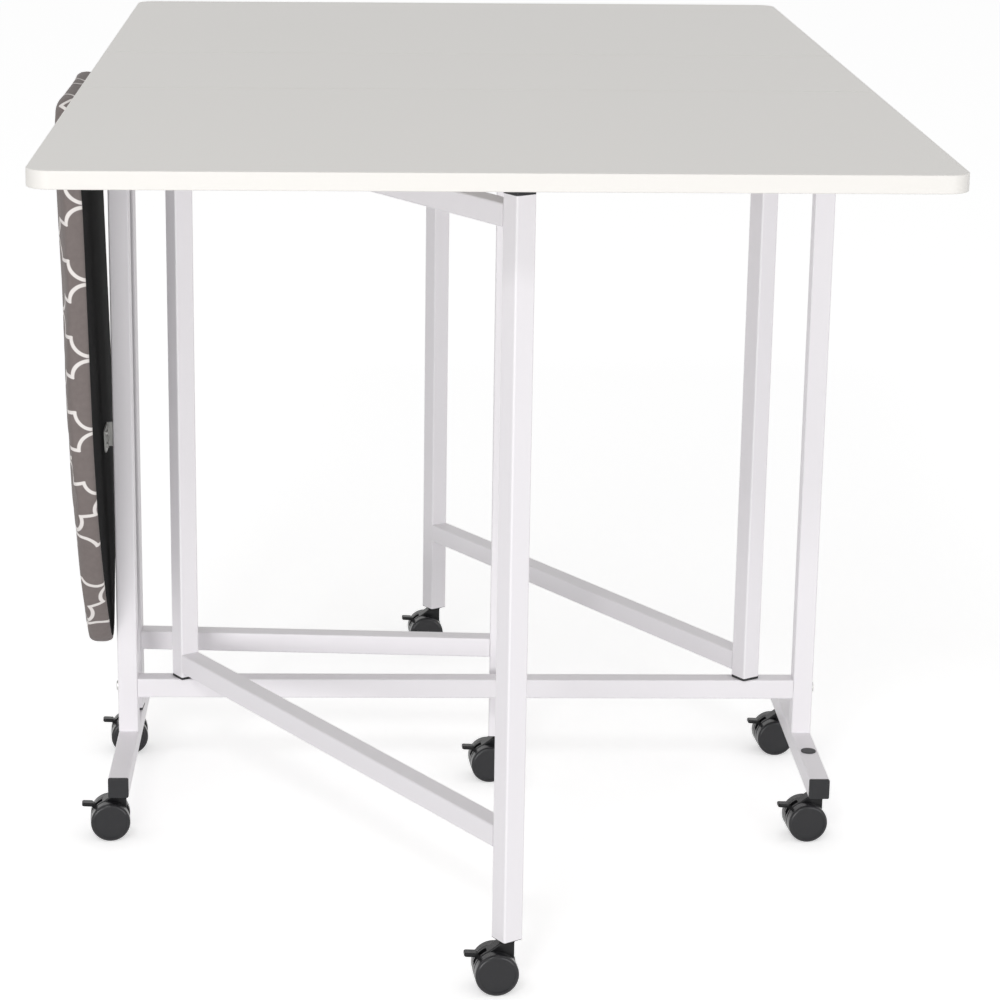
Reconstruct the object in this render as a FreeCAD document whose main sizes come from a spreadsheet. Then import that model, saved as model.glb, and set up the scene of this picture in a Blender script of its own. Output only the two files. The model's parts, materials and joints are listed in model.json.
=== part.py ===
"""Folding cutting table: a drop-leaf top on a caster frame with three swinging gates.

Millimetres, +Z up, X along the hinged seams, Y across the leaves, floor at Z = 0.
The origin is on the floor under the middle of the overall box, so the table's own
middle lies table_mid_x to the right: the hanging ironing board takes up the left end.
"""
import FreeCAD, Part
import math
import os
import re
from types import SimpleNamespace
from FreeCAD import Placement, Rotation, Vector

# Driving dimensions, in millimetres and degrees.
SIZES = {
    # table top
    "table_width": 914.4,
    "table_height": 925.0,
    "strip_width": 322.0,
    "leaf_length": 583.8,
    "seam_gap": 1.2,
    "panel_thick": 18.5,
    "leaf_corner_radius": 25.0,
    "panel_edge_radius": 1.2,
    # square tube and the fits of what goes into it
    "tube_size": 25.0,
    "tube_wall": 1.2,
    "tube_bend": 1.0,
    "plug_depth": 18.0,
    "fit_gap": 0.1,
    "pin_gap": 0.05,
    "run_gap": 0.3,
    "overrun": 2.0,
    # fixed frame
    "post_inset": 27.9,
    "foot_length": 352.0,
    "cap_thick": 4.5,
    "cap_edge_radius": 1.2,
    "lower_rail_z": 130.0,
    "top_bar_length": 290.0,
    "foot_hole_dia": 16.0,
    "hole_plug_head_dia": 18.5,
    "hole_plug_head_thick": 1.2,
    "hole_plug_depth": 8.0,
    # bolts and screws of the frame
    "bolt_dia": 6.0,
    "bolt_head_dia": 13.0,
    "bolt_head_thick": 2.4,
    "bolt_head_round": 1.2,
    "bolt_reach": 16.0,
    "screw_dia": 4.2,
    "screw_head_dia": 9.0,
    "screw_head_thick": 2.4,
    "screw_bite": 12.0,
    "bar_screw_y": 122.0,
    "rail_screw_x": 230.0,
    # leaf hinges
    "hinge_near_x": 125.0,
    "hinge_end_inset": 77.2,
    "hinge_length": 50.0,
    "hinge_plate_width": 28.0,
    "hinge_plate_thick": 1.8,
    "hinge_barrel_dia": 7.0,
    "hinge_pin_dia": 4.0,
    "hinge_screw_inset": 9.0,
    "hinge_screw_dia": 3.6,
    "hinge_screw_head_dia": 7.0,
    "hinge_screw_head_thick": 1.3,
    "hinge_screw_bite": 11.0,
    # swinging leaf gates
    "gate_pivot_inset": 72.9,
    "gate_length": 705.0,
    "gate_open_angle": 57.0,
    "gate_rail_lift": 9.0,
    "gate_top_rail_drop": 38.5,
    "leg_top_drop": 27.8,
    "rest_gap": 0.5,
    "rest_top_inset": 2.0,
    "bush_flange": 3.0,
    "insert_flange": 0.6,
    "pivot_pin_dia": 10.0,
    "pivot_pin_reach": 20.0,
    # ironing-board gate
    "board_gate_y": 80.0,
    "board_gate_length": 475.0,
    "board_gate_lean": 3.6,
    "board_gate_rail_z": 168.0,
    # ironing board
    "board_length": 705.0,
    "board_width": 300.0,
    "board_thick": 28.4,
    "board_straight": 352.0,
    "board_nose_radius": 40.0,
    "board_corner_radius": 38.0,
    "board_tilt": 1.4,
    "deck_thick": 12.0,
    "cover_wrap": 8.0,
    "pad_hem_inset": 3.0,
    "pad_shoulder_inset": 1.5,
    "pad_roll_inset": 6.2,
    "pad_crown_inset": 27.0,
    # ironing-board hinges
    "board_hinge_out": 3.7,
    "board_hinge_drop": 1.5,
    "board_end_over": 2.4,
    "board_hinge_y": 103.0,
    "board_hinge_length": 42.0,
    "board_barrel_dia": 6.4,
    "board_pin_dia": 3.4,
    "board_plate_thick": 1.5,
    "board_plate_reach": 38.0,
    "bracket_thick": 2.0,
    "bracket_height": 19.0,
    "bracket_screw_inset": 8.0,
    # catch under the ironing board
    "catch_length": 31.0,
    "catch_width": 38.0,
    "catch_sheet": 2.0,
    "catch_flange": 18.0,
    "catch_stop_y": 40.0,
    "catch_stop_gap": 0.6,
    "catch_corner": 5.0,
    "catch_screw_inset": 13.0,
    "catch_screw_dia": 4.0,
    "catch_screw_head_dia": 8.0,
    "catch_screw_head_thick": 2.2,
    "catch_screw_socket_dia": 4.0,
    "catch_screw_socket_depth": 1.4,
    "catch_screw_bite": 8.0,
    # casters
    "caster_height": 59.2,
    "caster_setback": 25.0,
    "caster_trail": 12.6,
    "caster_yaw": 5.0,
    "wheel_dia": 48.4,
    "wheel_width": 14.0,
    "wheel_edge_radius": 3.8,
    "wheel_inner_radius": 1.0,
    "wheel_face_dia": 38.8,
    "wheel_face_depth": 0.8,
    "axle_dia": 6.0,
    "hood_width": 17.0,
    "hood_radius": 24.4,
    "hood_front_angle": 216.0,
    "hood_back_angle": 112.0,
    "hood_edge_radius": 1.5,
    "hood_rim_share": 0.7,
    "hood_base_drop": 13.0,
    "hood_base_half": 9.0,
    "boss_half": 7.5,
    "boss_drop": 30.0,
    "stem_dia": 10.0,
    "stem_length": 20.0,
    "stem_flange_dia": 20.0,
    "stem_flange_thick": 2.0,
    "socket_wall": 2.0,
    "socket_length": 21.5,
    # brake lever of a caster
    "lever_pivot_back": 15.0,
    "lever_pivot_up": 11.6,
    "lever_neck": 10.0,
    "lever_rise": 40.0,
    "lever_thick": 4.6,
    "lever_width": 8.0,
    "lever_pedal_length": 13.0,
    "lever_pedal_width": 12.5,
    "lever_pedal_rise": 4.0,
    "lever_pedal_lap": 1.0,
    "lever_corner_radius": 3.0,
    "lever_edge_radius": 1.4,
    "lever_pin_dia": 3.0,
    "lever_barrel_dia": 8.0,
    "notch_clear": 1.2,
    "slot_width": 2.8,
    "slot_drop": 15.0,
}

# Height shares of the pad's sections, from the hem up to the crown.
PAD_HEIGHT_SHARES = (0.0, 0.22, 0.62, 0.88, 1.0)

X, Y, Z = Vector(1, 0, 0), Vector(0, 1, 0), Vector(0, 0, 1)

doc = FreeCAD.newDocument("cutting_table")
sheet = doc.addObject("Spreadsheet::Sheet", "sizes")
for row, (alias, value) in enumerate(SIZES.items(), start=1):
    sheet.set(f"A{row}", alias)
    sheet.set(f"B{row}", str(value))
    sheet.setAlias(f"B{row}", alias)
doc.recompute()
s = SimpleNamespace(**{alias: float(sheet.get(alias)) for alias in SIZES})

# Levels and places that follow from the driving dimensions.
half = s.tube_size / 2
inner = s.tube_size - 2 * s.tube_wall
panel_under_z = s.table_height - s.panel_thick
board_plane_gap = s.board_barrel_dia / 2 + s.run_gap
tilt = math.radians(s.board_tilt)
board_top_slope = (s.pad_crown_inset - s.board_end_over) * math.sin(tilt)
board_stands_out = (board_plane_gap + s.board_thick) * math.cos(tilt) - board_top_slope
table_mid_x = (s.board_hinge_out + board_stands_out) / 2
post_x = s.table_width / 2 - s.post_inset
gate_pivot_x = post_x - s.gate_pivot_inset
hinge_far_x = s.table_width / 2 - s.hinge_end_inset
foot_z = s.caster_height + s.run_gap
foot_top_z = foot_z + s.tube_size
lower_rail_top_z = s.lower_rail_z + s.tube_size
top_bar_z = panel_under_z - s.tube_size
caster_y = s.foot_length / 2 - s.caster_setback
leg_bottom_z = foot_z + s.insert_flange
leg_top_z = panel_under_z - s.leg_top_drop
pivot_top_z = top_bar_z - s.run_gap - s.bush_flange
seam_y = s.strip_width / 2 + s.seam_gap / 2
hinge_axis_z = panel_under_z - s.hinge_barrel_dia / 2 - s.run_gap
board_axis_z = panel_under_z - s.board_hinge_drop
bracket_top_z = board_axis_z - s.board_barrel_dia / 2 + s.bracket_thick
bracket_screw_z = bracket_top_z - s.bracket_height / 2
hinge_screw_y = (s.hinge_plate_width + s.hinge_barrel_dia / 2) / 2
hinge_places = [table_mid_x + side * x for side in (-1, 1) for x in (s.hinge_near_x, hinge_far_x)]
board_axis = Vector(table_mid_x - s.table_width / 2 - s.board_hinge_out, 0, board_axis_z)

WORD = re.compile(r"[a-z_]+")
parts = {}


def formula(text):
    """Point the sheet's aliases in a formula at the sheet."""
    return WORD.sub(lambda m: "sizes." + m.group() if m.group() in SIZES else m.group(), text)


def bind(thing, **formulas):
    """Bind properties of an object to formulas over the sheet."""
    for prop, text in formulas.items():
        thing.setExpression(prop, formula(text))


def new_body(label):
    body = doc.addObject("PartDesign::Body", label)
    body.Label = label
    return body


def block(body, kind, sizes, corner, turn=Rotation()):
    """Add or take away a box: its three size formulas and its low corner."""
    thing = body.newObject(f"PartDesign::{kind}Box", "block")
    bind(thing, Length=sizes[0], Width=sizes[1], Height=sizes[2])
    thing.Placement = Placement(corner, turn)
    return thing


def round_bar(body, kind, dia, length, base, along=Z):
    """Add or take away a cylinder from its base point along a direction."""
    thing = body.newObject(f"PartDesign::{kind}Cylinder", "round_bar")
    bind(thing, Radius=f"({dia}) / 2", Height=length)
    thing.Placement = Placement(base, Rotation(Z, along))
    return thing


def fillet(body, base, radius, wanted):
    """Round the edges of the last feature for which wanted(edge) is true."""
    doc.recompute()
    names = [f"Edge{i}" for i, edge in enumerate(base.Shape.Edges, start=1) if wanted(edge)]
    thing = body.newObject("PartDesign::Fillet", "fillet")
    thing.Base = (base, names)
    bind(thing, Radius=radius)
    return thing


def runs_along(axis):
    """Test for straight edges that lie along an axis."""
    def test(edge):
        return isinstance(edge.Curve, Part.Line) and abs(edge.Curve.Direction.dot(axis)) > 0.99
    return test


def origin_plane(body, role):
    return next(f for f in body.Origin.OriginFeatures if f.Role == role)


def sketch_on(body, role, shapes):
    """Attach a sketch of the given lines and arcs to one of the body's own planes."""
    sketch = body.newObject("Sketcher::SketchObject", "outline")
    sketch.AttachmentSupport = [(origin_plane(body, role), "")]
    sketch.MapMode = "FlatFace"
    for shape in shapes:
        sketch.addGeometry(shape, False)
    return sketch


def pad(body, sketch, length, midplane=False):
    thing = body.newObject("PartDesign::Pad", "pad")
    thing.Profile = sketch
    bind(thing, Length=length)
    thing.Midplane = midplane
    return thing


def keep(label, thing):
    """Hand a finished object in as the node called label."""
    thing.Label = label
    parts[label] = thing
    return thing


def keep_copy(label, master, place):
    """Hand in a placed copy of a master piece."""
    thing = doc.addObject("Part::Feature", label)
    thing.Shape = master.Shape.copy()
    thing.Placement = place.multiply(master.Placement)
    return keep(label, thing)


def keep_group(label, solids):
    """Hand in several separate solids as one node."""
    thing = doc.addObject("Part::Compound", label)
    thing.Links = solids
    return keep(label, thing)


def placed(master, place):
    """One placed copy of a master, as a member of a group."""
    thing = doc.addObject("Part::Feature", master.Name + "_copy")
    thing.Shape = master.Shape.copy()
    thing.Placement = place.multiply(master.Placement)
    return thing


def square_tube(label, length, start, along, holes=()):
    """Rolled square tube from start along a direction.

    A hole is (distance along the tube, direction in the tube's frame, diameter, walls):
    it goes through one wall or both. The tube's own frame has X along it.
    """
    body = new_body(label)
    low = Vector(0, -half, -half)
    outer = block(body, "Additive", (length, "tube_size", "tube_size"), low)
    fillet(body, outer, "tube_wall + tube_bend", runs_along(X))
    bore_size = "tube_size - 2 * tube_wall"
    bore_low = Vector(0, -inner / 2, -inner / 2)
    block(body, "Subtractive", (length, bore_size, bore_size), bore_low)
    for distance, direction, dia, walls in holes:
        base = Vector(distance, 0, 0) - direction * (s.tube_size * (walls - 1))
        round_bar(body, "Subtractive", dia, f"tube_size * {walls}", base, direction)
    body.Placement = Placement(start, Rotation(X, along))
    doc.recompute()
    return body


def tube_plug(label, flange, bore=None, depth="plug_depth", rim=None):
    """Moulded square plug: a flange below Z = 0, a body that fills the tube above it."""
    body = new_body(label)
    low = Vector(-half, -half, -getattr(s, flange))
    head = block(body, "Additive", ("tube_size", "tube_size", flange), low)
    rounded = fillet(body, head, "tube_wall + tube_bend", runs_along(Z))
    if rim:
        fillet(body, rounded, rim, lambda edge: edge.BoundBox.ZMax < -getattr(s, flange) / 2)
    core = "tube_size - 2 * tube_wall - 2 * fit_gap"
    core_low = Vector(-inner / 2 + s.fit_gap, -inner / 2 + s.fit_gap, 0)
    block(body, "Additive", (core, core, depth), core_low)
    if bore:
        start = Vector(0, 0, -getattr(s, flange) - s.overrun)
        round_bar(body, "Subtractive", bore, f"{depth} + {flange} + 2 * overrun", start)
    doc.recompute()
    return body


# Table top.
def centre_panel():
    body = new_body("centre_panel")
    low = Vector(table_mid_x - s.table_width / 2, -s.strip_width / 2, panel_under_z)
    board = block(body, "Additive", ("table_width", "strip_width", "panel_thick"), low)
    fillet(body, board, "panel_edge_radius", runs_along(Y))
    for x, y in panel_screw_places():
        base = Vector(x, y, panel_under_z - s.overrun)
        round_bar(body, "Subtractive", "screw_dia + 2 * fit_gap", "screw_bite + overrun + overrun", base)
    for side in (-1, 1):
        hinge_screw_holes(body, side * (seam_y - hinge_screw_y))
    keep("centre_panel", body)


def hinge_screw_holes(body, y):
    """One row of blind holes for the leaf hinges' screws."""
    for x in hinge_places:
        for spot in leaf_hinge_screw_spots():
            base = Vector(x + spot.x, y, panel_under_z - s.overrun)
            depth = "hinge_screw_bite + overrun + overrun / 2"
            round_bar(body, "Subtractive", "hinge_screw_dia + 2 * fit_gap", depth, base)


def leaf_panel(label, side):
    """One drop leaf with its two outer corners rounded; side is -1 front, 1 back."""
    body = new_body(label)
    inner_y = s.strip_width / 2 + s.seam_gap
    low_y = inner_y if side > 0 else -inner_y - s.leaf_length
    outer_y = side * (inner_y + s.leaf_length)
    low = Vector(table_mid_x - s.table_width / 2, low_y, panel_under_z)
    board = block(body, "Additive", ("table_width", "leaf_length", "panel_thick"), low)
    upright = runs_along(Z)

    def at_outer_corner(edge):
        return upright(edge) and abs(edge.CenterOfMass.y - outer_y) < s.seam_gap

    rounded = fillet(body, board, "leaf_corner_radius", at_outer_corner)

    def on_the_rim(edge):
        level = abs(edge.BoundBox.ZLength) < s.fit_gap
        return level and abs(edge.CenterOfMass.y - side * inner_y) > s.seam_gap

    fillet(body, rounded, "panel_edge_radius", on_the_rim)
    hinge_screw_holes(body, side * (seam_y + hinge_screw_y))
    keep(label, body)


def panel_screw_places():
    """Screws go up through the two top bars and the upper rail."""
    bars = [(table_mid_x + side * post_x, end * s.bar_screw_y) for side in (-1, 1) for end in (-1, 1)]
    rail = [(table_mid_x + side * s.rail_screw_x, 0) for side in (-1, 1)]
    return bars + rail


# Fixed frame.
def fixed_frame():
    post_length = "table_height - panel_thick - tube_size * 2 - caster_height - run_gap"
    bolt_at = s.lower_rail_z + half - foot_top_z
    bolt_hole = "bolt_dia + 4 * fit_gap"
    pin_hole = "pivot_pin_dia + 2 * pin_gap"
    screw_hole = "screw_dia + 4 * fit_gap"
    stem_hole = "stem_dia + 2 * pin_gap + 2 * socket_wall + 2 * fit_gap"
    near_end = s.caster_setback
    far_end = s.foot_length - s.caster_setback
    for name, side in (("left", -1), ("right", 1)):
        x = table_mid_x + side * post_x
        bolt_holes = [(bolt_at, Z, bolt_hole, 2)]
        start = Vector(x, 0, foot_top_z)
        keep(f"{name}_post", square_tube(f"{name}_post", post_length, start, Z, bolt_holes))

        # Both feet are one part, turned end for end: the gate hole is behind on the left.
        foot_holes = [(near_end, -Z, stem_hole, 1), (far_end, -Z, stem_hole, 1)]
        foot_holes.append((s.foot_length / 2 + s.board_gate_y, Z, "foot_hole_dia", 1))
        start = Vector(x, side * s.foot_length / 2, foot_z + half)
        keep(f"{name}_foot", square_tube(f"{name}_foot", "foot_length", start, -side * Y, foot_holes))

        middle = s.top_bar_length / 2
        bar_holes = [(middle + end * s.bar_screw_y, Z, screw_hole, 2) for end in (-1, 1)]
        if side < 0:
            bar_holes.append((middle + s.board_gate_y, -Z, pin_hole, 1))
            bar_holes += [(middle + y, Y, screw_hole, 1) for y in bracket_screw_ys()]
        start = Vector(x, -middle, top_bar_z + half)
        keep(f"{name}_top_bar", square_tube(f"{name}_top_bar", "top_bar_length", start, Y, bar_holes))

    length = "table_width - 2 * post_inset - tube_size"
    rail_half = post_x - half
    start = Vector(table_mid_x - rail_half, 0, s.lower_rail_z + half)
    pin_holes = [(rail_half + side * gate_pivot_x, Z, pin_hole, 1) for side in (-1, 1)]
    keep("lower_rail", square_tube("lower_rail", length, start, X, pin_holes))
    start = Vector(table_mid_x - rail_half, 0, top_bar_z + half)
    rail_holes = [(rail_half + side * gate_pivot_x, -Z, pin_hole, 1) for side in (-1, 1)]
    rail_holes += [(rail_half + side * s.rail_screw_x, Z, screw_hole, 2) for side in (-1, 1)]
    keep("upper_rail", square_tube("upper_rail", length, start, X, rail_holes))


def frame_caps():
    """Plastic end caps of the feet and top bars, and the plug of the unused foot hole."""
    cap = tube_plug("end_cap", "cap_thick", rim="cap_edge_radius")
    solids = []
    for side in (-1, 1):
        x = table_mid_x + side * post_x
        for end in (-1, 1):
            inward = Rotation(Z, Vector(0, -end, 0))
            for length, level in ((s.foot_length, foot_z), (s.top_bar_length, top_bar_z)):
                solids.append(placed(cap, Placement(Vector(x, end * length / 2, level + half), inward)))
    plug = new_body("foot_hole_plug")
    at = Vector(table_mid_x + post_x, -s.board_gate_y, foot_top_z)
    round_bar(plug, "Additive", "hole_plug_head_dia", "hole_plug_head_thick", at)
    spigot_low = at - Z * s.hole_plug_depth
    round_bar(plug, "Additive", "foot_hole_dia - 2 * fit_gap", "hole_plug_depth", spigot_low)
    keep_group("frame_end_caps", solids + [plug])


def rail_bolts():
    """Button-head bolts through the posts into square nuts held in the lower rail's ends."""
    bolt = new_body("rail_bolt")
    head = round_bar(bolt, "Additive", "bolt_head_dia", "bolt_head_thick", -Z * s.bolt_head_thick)

    def outer_rim(edge):
        return edge.CenterOfMass.z < -s.bolt_head_thick / 2 and isinstance(edge.Curve, Part.Circle)

    fillet(bolt, head, "bolt_head_round", outer_rim)
    round_bar(bolt, "Additive", "bolt_dia", "tube_size + bolt_reach", Vector())
    nut = new_body("rail_nut")
    core = "tube_size - 2 * tube_wall - 2 * fit_gap"
    low = Vector(-inner / 2 + s.fit_gap, -inner / 2 + s.fit_gap, s.fit_gap)
    block(nut, "Additive", (core, core, "plug_depth"), low)
    bore_base = Vector(0, 0, -s.overrun)
    round_bar(nut, "Subtractive", "bolt_dia + 2 * pin_gap", "plug_depth + 2 * overrun", bore_base)
    doc.recompute()
    solids = []
    for side in (-1, 1):
        inward = Rotation(Z, Vector(-side, 0, 0))
        level = s.lower_rail_z + half
        outside = Vector(table_mid_x + side * (post_x + half), 0, level)
        rail_end = Vector(table_mid_x + side * (post_x - half), 0, level)
        solids.append(placed(bolt, Placement(outside, inward)))
        solids.append(placed(nut, Placement(rail_end, inward)))
    keep_group("rail_bolts", solids)


def frame_screws():
    """Screws up through the frame into the top, and those that hold the board's brackets."""
    screw = new_body("panel_screw")
    round_bar(screw, "Additive", "screw_head_dia", "screw_head_thick", -Z * s.screw_head_thick)
    round_bar(screw, "Additive", "screw_dia", "tube_size + screw_bite", Vector())
    short = new_body("bracket_screw")
    round_bar(short, "Additive", "screw_head_dia", "screw_head_thick", -Z * s.screw_head_thick)
    round_bar(short, "Additive", "screw_dia", "bracket_thick + screw_bite", Vector())
    doc.recompute()
    seats = [Vector(x, y, top_bar_z) for x, y in panel_screw_places()]
    solids = [placed(screw, Placement(seat, Rotation())) for seat in seats]
    face = table_mid_x - post_x - half - s.bracket_thick
    inward = Rotation(Z, X)
    for y in bracket_screw_ys():
        solids.append(placed(short, Placement(Vector(face, y, bracket_screw_z), inward)))
    keep_group("frame_screws", solids)


def bracket_screw_ys():
    """Two screws in each of the two board brackets."""
    aside = s.board_hinge_length / 2 - s.bracket_screw_inset
    return [side * s.board_hinge_y + end * aside for side in (-1, 1) for end in (-1, 1)]


def pivot_pins():
    """Steel pins of the three gates: one below and one above each pivot post."""
    reach = "tube_size - tube_wall + run_gap + bush_flange + pivot_pin_reach"
    pin = new_body("pivot_pin")
    round_bar(pin, "Additive", "pivot_pin_dia", reach, Vector(0, 0, s.tube_wall))
    collared = new_body("collared_pin")
    round_bar(collared, "Additive", "pivot_pin_dia", reach, Vector(0, 0, s.tube_wall))
    collar = "foot_hole_dia - 2 * fit_gap"
    round_bar(collared, "Additive", collar, "tube_size - tube_wall", Vector(0, 0, s.tube_wall))
    doc.recompute()
    upside_down = Rotation(X, 180)
    solids = []
    for side in (-1, 1):
        at = Vector(table_mid_x + side * gate_pivot_x, 0, 0)
        solids.append(placed(pin, Placement(at + Z * s.lower_rail_z, Rotation())))
        solids.append(placed(pin, Placement(at + Z * panel_under_z, upside_down)))
    at = Vector(table_mid_x - post_x, s.board_gate_y, 0)
    solids.append(placed(collared, Placement(at + Z * foot_z, Rotation())))
    solids.append(placed(pin, Placement(at + Z * panel_under_z, upside_down)))
    keep_group("pivot_pins", solids)


def foot_sockets():
    """Sleeves in the feet that take the caster stems."""
    sleeve = new_body("stem_sleeve")
    bore = "stem_dia + 2 * pin_gap"
    round_bar(sleeve, "Additive", f"{bore} + 2 * socket_wall", "socket_length", Vector())
    start = Vector(0, 0, -s.overrun)
    round_bar(sleeve, "Subtractive", bore, "socket_length + 2 * overrun", start)
    doc.recompute()
    places = [Placement(Vector(x, y, foot_z), Rotation()) for x, y in foot_caster_places().values()]
    keep_group("foot_caster_sockets", [placed(sleeve, place) for place in places])


def foot_caster_places():
    ends = {"front": -1, "back": 1}
    sides = {"left": -1, "right": 1}
    places = {}
    for end, i in ends.items():
        for name, j in sides.items():
            places[f"{end}_{name}"] = (table_mid_x + j * post_x, i * caster_y)
    return places


# Leaf hinges: two outer knuckles on the fixed plate, the middle one on the leaf's plate.
def hinge_plate(label, family, knuckles):
    """Plate on the +Y side of a barrel along X through the origin.

    family is the aliases of the length, barrel, pin, plate width and plate thickness;
    knuckles are the thirds of the barrel that belong to this plate. The plate's upper
    face lies a running gap above the barrel, so that the other half's knuckles clear it.
    """
    length, barrel, pin, width, thick = family
    size = SimpleNamespace(length=getattr(s, length), barrel=getattr(s, barrel), thick=getattr(s, thick))
    under = size.barrel / 2 + s.run_gap - size.thick
    body = new_body(label)
    low = Vector(-size.length / 2, size.barrel / 2 + s.run_gap, under)
    block(body, "Additive", (length, f"{width} - {barrel} / 2 - run_gap", thick), low)
    for third in knuckles:
        start = Vector(size.length * (third / 3 - 1 / 2) + s.run_gap / 2, 0, 0)
        knuckle = f"{length} / 3 - run_gap"
        block(body, "Additive", (knuckle, f"{barrel} / 2 + 2 * run_gap", thick), start + Z * under)
        round_bar(body, "Additive", barrel, knuckle, start, X)
    bore_start = Vector(-size.length / 2 - s.overrun, 0, 0)
    round_bar(body, "Subtractive", f"{pin} + 2 * pin_gap", f"{length} + 2 * overrun", bore_start, X)
    doc.recompute()
    return body


def leaf_hinge_screw_spots():
    """Where a leaf hinge's plate is screwed, from the middle of its barrel."""
    return [Vector(side * (s.hinge_length / 2 - s.hinge_screw_inset), hinge_screw_y, 0) for side in (-1, 1)]


def leaf_hinges():
    family = ("hinge_length", "hinge_barrel_dia", "hinge_pin_dia", "hinge_plate_width", "hinge_plate_thick")
    fixed = hinge_plate("fixed_hinge_plate", family, (0, 2))
    moving = hinge_plate("leaf_hinge_plate", family, (1,))
    plate_under = s.hinge_barrel_dia / 2 + s.run_gap - s.hinge_plate_thick
    for plate in (fixed, moving):
        for spot in leaf_hinge_screw_spots():
            base = spot + Z * (plate_under - s.overrun)
            round_bar(plate, "Subtractive", "hinge_screw_dia + 2 * fit_gap", "overrun * 4", base)
    screw = new_body("hinge_screw")
    under_head = -Z * s.hinge_screw_head_thick
    round_bar(screw, "Additive", "hinge_screw_head_dia", "hinge_screw_head_thick", under_head)
    round_bar(screw, "Additive", "hinge_screw_dia", "hinge_plate_thick + hinge_screw_bite", Vector())
    doc.recompute()

    def screwed(plate, place):
        spots = [Placement(spot + Z * plate_under, Rotation()) for spot in leaf_hinge_screw_spots()]
        return [placed(plate, place)] + [placed(screw, place.multiply(spot)) for spot in spots]

    turned = Rotation(Z, 180)
    fixed_solids = []
    for name, side in (("front", -1), ("back", 1)):
        inward, outward = (Rotation(), turned) if side < 0 else (turned, Rotation())
        leaf_solids = []
        for x in hinge_places:
            at = Vector(x, side * seam_y, hinge_axis_z)
            fixed_solids += screwed(fixed, Placement(at, inward))
            leaf_solids += screwed(moving, Placement(at, outward))
        keep_group(f"{name}_leaf_hinge_plates", leaf_solids)
    keep_group("strip_hinge_plates", fixed_solids)


def hinge_pins():
    """Pins of the eight leaf hinges and the two board hinges."""
    leaf_pin = new_body("leaf_hinge_pin")
    round_bar(leaf_pin, "Additive", "hinge_pin_dia", "hinge_length", Vector(-s.hinge_length / 2, 0, 0), X)
    board_pin = new_body("board_hinge_pin")
    start = Vector(0, -s.board_hinge_length / 2, 0)
    round_bar(board_pin, "Additive", "board_pin_dia", "board_hinge_length", start, Y)
    doc.recompute()
    solids = []
    for side in (-1, 1):
        for x in hinge_places:
            solids.append(placed(leaf_pin, Placement(Vector(x, side * seam_y, hinge_axis_z), Rotation())))
        solids.append(placed(board_pin, Placement(board_axis + Y * (side * s.board_hinge_y), Rotation())))
    keep_group("hinge_pins", solids)


# Gates, each drawn with its pivot on the origin and its rails along X.
def gate_masters(length_name):
    """Upright tubes and plugs of a gate: pivot post, leg, rest cap, bushes, caster insert."""
    length = getattr(s, length_name)
    masters = SimpleNamespace()
    masters.leg = square_tube("leg_master", "table_height - panel_thick - leg_top_drop - caster_height "
                              "- run_gap - insert_flange", Vector(length, 0, leg_bottom_z), Z)
    bush = tube_plug("bush_master", "bush_flange", "pivot_pin_dia + 2 * pin_gap", "plug_depth + run_gap")
    insert = tube_plug("insert_master", "insert_flange", "stem_dia + 2 * pin_gap", "stem_length + run_gap")
    rest = new_body("rest_master")
    core = "tube_size - 2 * tube_wall - 2 * fit_gap"
    core_low = Vector(-inner / 2 + s.fit_gap, -inner / 2 + s.fit_gap, -s.plug_depth)
    head_size = ("tube_size", "tube_size", "leg_top_drop - rest_gap")
    head = block(rest, "Additive", head_size, Vector(-half, -half, 0))
    rounded = fillet(rest, head, "tube_wall + tube_bend", runs_along(Z))

    def top_rim(edge):
        return edge.BoundBox.ZMin > s.leg_top_drop / 2

    fillet(rest, rounded, "rest_top_inset", top_rim)
    block(rest, "Additive", (core, core, "plug_depth"), core_low)
    doc.recompute()
    masters.bush, masters.insert, masters.rest = bush, insert, rest
    return masters


def gate_plugs(label, masters, length, pivot_z, place):
    """Two bushes of the pivot post, the leg's rest cap and its caster insert."""
    upside_down = Rotation(X, 180)
    seats = (
        (masters.bush, Placement(Vector(0, 0, pivot_z), Rotation())),
        (masters.bush, Placement(Vector(0, 0, pivot_top_z), upside_down)),
        (masters.rest, Placement(Vector(length, 0, leg_top_z), Rotation())),
        (masters.insert, Placement(Vector(length, 0, leg_bottom_z), Rotation())),
    )
    keep_group(label, [placed(master, place.multiply(seat)) for master, seat in seats])


def leaf_gates():
    pivot_z = lower_rail_top_z + s.run_gap + s.bush_flange
    masters = gate_masters("gate_length")
    pivot_length = ("table_height - panel_thick - tube_size * 2 - lower_rail_z"
                    " - 2 * run_gap - 2 * bush_flange")
    pivot = square_tube("pivot_master", pivot_length, Vector(0, 0, pivot_z), Z)
    rail_length = "gate_length - tube_size"
    rail_z = lower_rail_top_z + s.gate_rail_lift + half
    top_z = panel_under_z - s.gate_top_rail_drop - half
    lower = square_tube("lower_master", rail_length, Vector(half, 0, rail_z), X)
    upper = square_tube("upper_master", rail_length, Vector(half, 0, top_z), X)
    for name, place in leaf_gate_places().items():
        keep_copy(f"{name}_gate_pivot_post", pivot, place)
        keep_copy(f"{name}_gate_lower_rail", lower, place)
        keep_copy(f"{name}_gate_top_rail", upper, place)
        keep_copy(f"{name}_gate_leg", masters.leg, place)
        gate_plugs(f"{name}_gate_plugs", masters, s.gate_length, pivot_z, place)


def leaf_gate_places():
    """Both gates stand open by the same angle, half a turn apart."""
    front = Placement(Vector(table_mid_x - gate_pivot_x, 0, 0), Rotation(Z, -s.gate_open_angle))
    back = Placement(Vector(table_mid_x + gate_pivot_x, 0, 0), Rotation(Z, 180 - s.gate_open_angle))
    return {"front": front, "back": back}


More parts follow.
